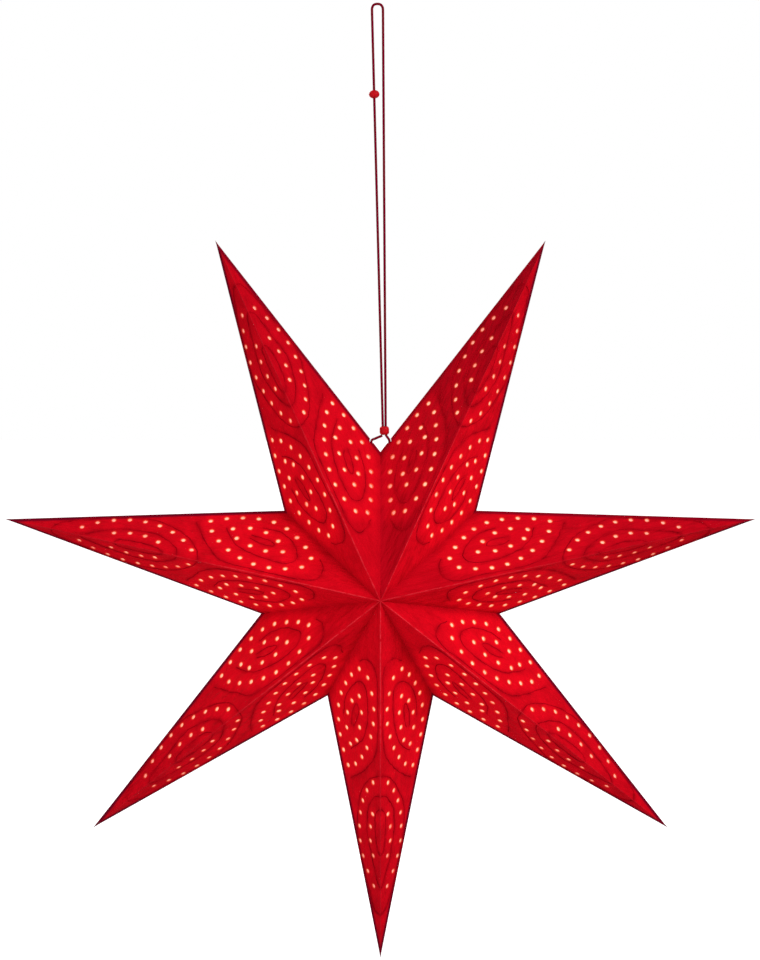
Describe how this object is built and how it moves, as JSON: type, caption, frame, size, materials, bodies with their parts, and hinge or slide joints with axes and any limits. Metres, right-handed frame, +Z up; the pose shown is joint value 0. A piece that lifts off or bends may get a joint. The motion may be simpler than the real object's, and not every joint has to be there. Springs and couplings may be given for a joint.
{
  "type": "paper star lantern",
  "caption": "Hanging pointed star of creased, punched red paper with a cord loop, sliding beads and a small screw-in lamp inside; the seam opens and the paper folds up like a fan.",
  "frame": {"origin": "inside top of the cord loop, where its hook carries it", "axes": "+Z up, +X to the right seen from the front, the front of the star faces -Y"},
  "size_m": [0.7562, 0.1985, 0.9668],
  "materials": {
    "red_paper": "matte handmade paper, punched",
    "cord": "twisted cotton cord, dark red",
    "bead": "red stain, satin",
    "steel": "nickel-plated",
    "holder_plastic": "moulded, matte white",
    "porcelain": "glazed white",
    "brass": "bare",
    "black_insulator": "black",
    "bulb_plastic": "white",
    "bulb_glass": "clear, warm",
    "stem_glass": "clear",
    "filament": "yellow phosphor, lit"
  },
  "bodies": {
    "hanging_side": {"point_1_front_left": "red_paper", "hanging_cord": "cord", "hanging_eye": "steel", "eye_nut": "steel", "lampholder_cap": "holder_plastic", "lampholder_body": "holder_plastic", "contact_block": "porcelain", "screw_shell": "brass", "centre_contact": "brass", "terminal_screws": "brass"},
    "point_1_front_right": {"point_1_front_right": "red_paper"},
    "point_1_back_left": {"point_1_back_left": "red_paper"},
    "point_1_back_right": {"point_1_back_right": "red_paper"},
    "point_2_front_left": {"point_2_front_left": "red_paper"},
    "point_2_front_right": {"point_2_front_right": "red_paper"},
    "point_2_back_left": {"point_2_back_left": "red_paper"},
    "point_2_back_right": {"point_2_back_right": "red_paper"},
    "point_3_front_left": {"point_3_front_left": "red_paper"},
    "point_3_front_right": {"point_3_front_right": "red_paper"},
    "point_3_back_left": {"point_3_back_left": "red_paper"},
    "point_3_back_right": {"point_3_back_right": "red_paper"},
    "point_4_front_left": {"point_4_front_left": "red_paper"},
    "point_4_front_right": {"point_4_front_right": "red_paper"},
    "point_4_back_left": {"point_4_back_left": "red_paper"},
    "point_4_back_right": {"point_4_back_right": "red_paper"},
    "point_5_front_left": {"point_5_front_left": "red_paper"},
    "point_5_front_right": {"point_5_front_right": "red_paper"},
    "point_5_back_left": {"point_5_back_left": "red_paper"},
    "point_5_back_right": {"point_5_back_right": "red_paper"},
    "point_6_front_left": {"point_6_front_left": "red_paper"},
    "point_6_front_right": {"point_6_front_right": "red_paper"},
    "point_6_back_left": {"point_6_back_left": "red_paper"},
    "point_6_back_right": {"point_6_back_right": "red_paper"},
    "point_7_front_left": {"point_7_front_left": "red_paper"},
    "point_7_front_right": {"point_7_front_right": "red_paper", "left_tie": "cord"},
    "point_7_back_left": {"point_7_back_left": "red_paper"},
    "point_7_back_right": {"point_7_back_right": "red_paper"},
    "cinch_bead": {"cinch_bead": "bead"},
    "stop_bead": {"stop_bead": "bead"},
    "bulb": {"bulb_contact": "steel", "bulb_insulator": "black_insulator", "bulb_screw_cap": "steel", "bulb_collar": "bulb_plastic", "bulb_glass": "bulb_glass", "filament_stem": "stem_glass", "filaments": "filament"}
  },
  "joints": [
    {"name": "star_fold", "type": "hinge", "parent": "hanging_side", "child": "point_1_front_right", "pos_m": [0.003, -0.1, -0.58], "axis": [0.414, 0.2514, 0.8749], "range_deg": [0, 60]},
    {"name": "valley_1_fold", "type": "hinge", "parent": "point_1_front_right", "child": "point_2_front_left", "pos_m": [0.003, -0.1, -0.58], "axis": [-0.6092, -0.6268, -0.4858], "range_deg": [0, 79.1]},
    {"name": "ridge_2_fold", "type": "hinge", "parent": "point_2_front_left", "child": "point_2_front_right", "pos_m": [0.003, -0.1, -0.58], "axis": [0.9523, 0.2514, 0.1729], "range_deg": [0, 60.5]},
    {"name": "valley_2_fold", "type": "hinge", "parent": "point_2_front_right", "child": "point_3_front_left", "pos_m": [0.003, -0.1, -0.58], "axis": [-0.7596, -0.6268, 0.1734], "range_deg": [0, 79.1]},
    {"name": "ridge_3_fold", "type": "hinge", "parent": "point_3_front_left", "child": "point_3_front_right", "pos_m": [0.003, -0.1, -0.58], "axis": [0.739, 0.2514, -0.625], "range_deg": [0, 60.5]},
    {"name": "valley_3_fold", "type": "hinge", "parent": "point_3_front_right", "child": "point_4_front_left", "pos_m": [0.003, -0.1, -0.58], "axis": [-0.3381, -0.6268, 0.702], "range_deg": [0, 79.1]},
    {"name": "ridge_4_fold", "type": "hinge", "parent": "point_4_front_left", "child": "point_4_front_right", "pos_m": [0.003, -0.1, -0.58], "axis": [0, 0.2514, -0.9679], "range_deg": [0, 60.5]},
    {"name": "valley_4_fold", "type": "hinge", "parent": "point_4_front_right", "child": "point_5_front_left", "pos_m": [0.003, -0.1, -0.58], "axis": [0.3381, -0.6268, 0.702], "range_deg": [0, 79.1]},
    {"name": "ridge_5_fold", "type": "hinge", "parent": "point_5_front_left", "child": "point_5_front_right", "pos_m": [0.003, -0.1, -0.58], "axis": [-0.739, 0.2514, -0.625], "range_deg": [0, 60.5]},
    {"name": "valley_5_fold", "type": "hinge", "parent": "point_5_front_right", "child": "point_6_front_left", "pos_m": [0.003, -0.1, -0.58], "axis": [0.7596, -0.6268, 0.1734], "range_deg": [0, 79.1]},
    {"name": "ridge_6_fold", "type": "hinge", "parent": "point_6_front_left", "child": "point_6_front_right", "pos_m": [0.003, -0.1, -0.58], "axis": [-0.9523, 0.2514, 0.1729], "range_deg": [0, 60.5]},
    {"name": "valley_6_fold", "type": "hinge", "parent": "point_6_front_right", "child": "point_7_front_left", "pos_m": [0.003, -0.1, -0.58], "axis": [0.6092, -0.6268, -0.4858], "range_deg": [0, 79.1]},
    {"name": "ridge_7_fold", "type": "hinge", "parent": "point_7_front_left", "child": "point_7_front_right", "pos_m": [0.003, -0.1, -0.58], "axis": [-0.414, 0.2514, 0.8749], "range_deg": [0, 60.5]},
    {"name": "side_1_left_fold", "type": "hinge", "parent": "hanging_side", "child": "point_1_back_left", "pos_m": [0.16767, 0, -0.23199], "axis": [0.6152, 0, 0.7883], "range_deg": [0, 58.4]},
    {"name": "side_1_right_fold", "type": "hinge", "parent": "point_1_front_right", "child": "point_1_back_right", "pos_m": [0.16767, 0, -0.23199], "axis": [-0.2421, 0, -0.9703], "range_deg": [0, 59.3]},
    {"name": "side_2_left_fold", "type": "hinge", "parent": "point_2_front_left", "child": "point_2_back_left", "pos_m": [0.38181, 0, -0.51122], "axis": [0.9995, 0, -0.031], "range_deg": [0, 59.3]},
    {"name": "side_2_right_fold", "type": "hinge", "parent": "point_2_front_right", "child": "point_2_back_right", "pos_m": [0.38181, 0, -0.51122], "axis": [-0.9365, 0, -0.3506], "range_deg": [0, 59.3]},
    {"name": "side_3_left_fold", "type": "hinge", "parent": "point_3_front_left", "child": "point_3_back_left", "pos_m": [0.29697, 0, -0.82861], "axis": [0.616, 0, -0.7877], "range_deg": [0, 59.3]},
    {"name": "side_3_right_fold", "type": "hinge", "parent": "point_3_front_right", "child": "point_3_back_right", "pos_m": [0.29697, 0, -0.82861], "axis": [-0.8691, 0, 0.4947], "range_deg": [0, 59.3]},
    {"name": "side_4_left_fold", "type": "hinge", "parent": "point_4_front_left", "child": "point_4_back_left", "pos_m": [0.003, 0, -0.965], "axis": [-0.1938, 0, -0.981], "range_deg": [0, 59.3]},
    {"name": "side_4_right_fold", "type": "hinge", "parent": "point_4_front_right", "child": "point_4_back_right", "pos_m": [0.003, 0, -0.965], "axis": [-0.1938, 0, 0.981], "range_deg": [0, 59.3]},
    {"name": "side_5_left_fold", "type": "hinge", "parent": "point_5_front_left", "child": "point_5_back_left", "pos_m": [-0.29097, 0, -0.82861], "axis": [-0.8691, 0, -0.4947], "range_deg": [0, 59.3]},
    {"name": "side_5_right_fold", "type": "hinge", "parent": "point_5_front_right", "child": "point_5_back_right", "pos_m": [-0.29097, 0, -0.82861], "axis": [0.616, 0, 0.7877], "range_deg": [0, 59.3]},
    {"name": "side_6_left_fold", "type": "hinge", "parent": "point_6_front_left", "child": "point_6_back_left", "pos_m": [-0.37581, 0, -0.51122], "axis": [-0.9365, 0, 0.3506], "range_deg": [0, 59.3]},
    {"name": "side_6_right_fold", "type": "hinge", "parent": "point_6_front_right", "child": "point_6_back_right", "pos_m": [-0.37581, 0, -0.51122], "axis": [0.9995, 0, 0.031], "range_deg": [0, 59.3]},
    {"name": "side_7_left_fold", "type": "hinge", "parent": "point_7_front_left", "child": "point_7_back_left", "pos_m": [-0.16167, 0, -0.23199], "axis": [-0.2421, 0, 0.9703], "range_deg": [0, 59.3]},
    {"name": "side_7_right_fold", "type": "hinge", "parent": "point_7_front_right", "child": "point_7_back_right", "pos_m": [-0.16167, 0, -0.23199], "axis": [0.6152, 0, -0.7883], "range_deg": [0, 58.4]},
    {"name": "cinch_slide", "type": "slide", "parent": "hanging_side", "child": "cinch_bead", "axis": [-0.0164, 0, 0.9999], "range_m": [0, 0.04]},
    {"name": "stop_bead_slide", "type": "slide", "parent": "hanging_side", "child": "stop_bead", "axis": [-0.0261, 0, 0.9997], "range_m": [-0.12, 0.065]},
    {"name": "bulb_unscrew", "type": "slide", "parent": "hanging_side", "child": "bulb", "axis": [0, 0, -1], "range_m": [0, 0.024]}
  ],
  "couplings": [
    {"joint": "valley_1_fold", "follows": "star_fold", "ratio": 1.31},
    {"joint": "ridge_2_fold", "follows": "star_fold", "ratio": 1},
    {"joint": "valley_2_fold", "follows": "star_fold", "ratio": 1.31},
    {"joint": "ridge_3_fold", "follows": "star_fold", "ratio": 1},
    {"joint": "valley_3_fold", "follows": "star_fold", "ratio": 1.31},
    {"joint": "ridge_4_fold", "follows": "star_fold", "ratio": 1},
    {"joint": "valley_4_fold", "follows": "star_fold", "ratio": 1.31},
    {"joint": "ridge_5_fold", "follows": "star_fold", "ratio": 1},
    {"joint": "valley_5_fold", "follows": "star_fold", "ratio": 1.31},
    {"joint": "ridge_6_fold", "follows": "star_fold", "ratio": 1},
    {"joint": "valley_6_fold", "follows": "star_fold", "ratio": 1.31},
    {"joint": "ridge_7_fold", "follows": "star_fold", "ratio": 1},
    {"joint": "side_1_left_fold", "follows": "star_fold", "ratio": 0.965},
    {"joint": "side_1_right_fold", "follows": "star_fold", "ratio": 0.98},
    {"joint": "side_2_left_fold", "follows": "star_fold", "ratio": 0.98},
    {"joint": "side_2_right_fold", "follows": "star_fold", "ratio": 0.98},
    {"joint": "side_3_left_fold", "follows": "star_fold", "ratio": 0.98},
    {"joint": "side_3_right_fold", "follows": "star_fold", "ratio": 0.98},
    {"joint": "side_4_left_fold", "follows": "star_fold", "ratio": 0.98},
    {"joint": "side_4_right_fold", "follows": "star_fold", "ratio": 0.98},
    {"joint": "side_5_left_fold", "follows": "star_fold", "ratio": 0.98},
    {"joint": "side_5_right_fold", "follows": "star_fold", "ratio": 0.98},
    {"joint": "side_6_left_fold", "follows": "star_fold", "ratio": 0.98},
    {"joint": "side_6_right_fold", "follows": "star_fold", "ratio": 0.98},
    {"joint": "side_7_left_fold", "follows": "star_fold", "ratio": 0.98},
    {"joint": "side_7_right_fold", "follows": "star_fold", "ratio": 0.965}
  ]
}
